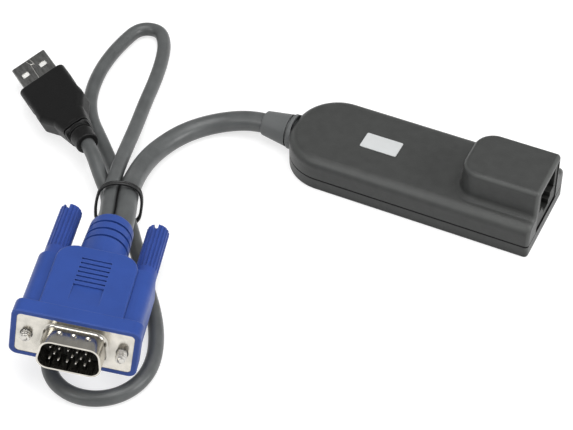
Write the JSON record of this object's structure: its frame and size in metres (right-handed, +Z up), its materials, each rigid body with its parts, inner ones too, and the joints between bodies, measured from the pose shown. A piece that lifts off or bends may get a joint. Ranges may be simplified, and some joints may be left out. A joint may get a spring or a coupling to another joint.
{
  "type": "kvm dongle",
  "caption": "Flat dongle case with a raised network-cable socket block, a thick cable to a video plug with thumbscrews and a thin looped cable to a USB plug.",
  "frame": {"origin": "middle of the case's flat underside", "axes": "+X along the case to the network socket, +Z up, +Y across the case away from the video plug"},
  "size_m": [0.1705, 0.1468, 0.0277],
  "materials": {
    "case_plastic": "finely grained, satin",
    "relief_plastic": "satin",
    "cable_jacket": "soft satin",
    "badge_plate": "satin",
    "board_laminate": "solder mask",
    "component_black": "moulded",
    "header_white": "moulded",
    "jack_plastic": "moulded",
    "contact_gold": "plated",
    "hood_blue": "satin",
    "knob_blue": "satin",
    "nickel_shell": "bright nickel",
    "insulator_black": "moulded",
    "screw_steel": "bright",
    "usb_black": "satin",
    "usb_steel": "satin",
    "tongue_white": "moulded",
    "tie_black": "satin"
  },
  "bodies": {
    "adapter": {"lower_case": "case_plastic", "upper_case": "case_plastic", "badge": "badge_plate", "circuit_board": "board_laminate", "main_chip": "component_black", "magnetics": "component_black", "cable_header": "header_white", "rj45_jack": "jack_plastic", "rj45_contacts": "contact_gold", "strain_relief": "relief_plastic", "trunk_cable": "cable_jacket", "thin_cable": "cable_jacket", "cable_tie": "tie_black", "vga_hood": "hood_blue", "vga_front_shell": "nickel_shell", "vga_back_shell": "nickel_shell", "vga_insert": "insulator_black", "vga_pins": "screw_steel", "usb_overmould": "usb_black", "usb_shell": "usb_steel", "usb_tongue": "tongue_white", "usb_contacts": "contact_gold"},
    "left_thumbscrew": {"left_knob": "knob_blue", "left_jackscrew": "screw_steel"},
    "right_thumbscrew": {"right_knob": "knob_blue", "right_jackscrew": "screw_steel"}
  },
  "joints": [
    {"name": "left_thumbscrew_turn", "type": "hinge", "parent": "adapter", "child": "left_thumbscrew", "pos_m": [-0.07294, -0.07889, 0.01523], "axis": [0.3194, -0.9383, 0.1323], "continuous": true},
    {"name": "right_thumbscrew_turn", "type": "hinge", "parent": "adapter", "child": "right_thumbscrew", "pos_m": [-0.04942, -0.07143, 0.01131], "axis": [0.3194, -0.9383, 0.1323], "continuous": true}
  ]
}
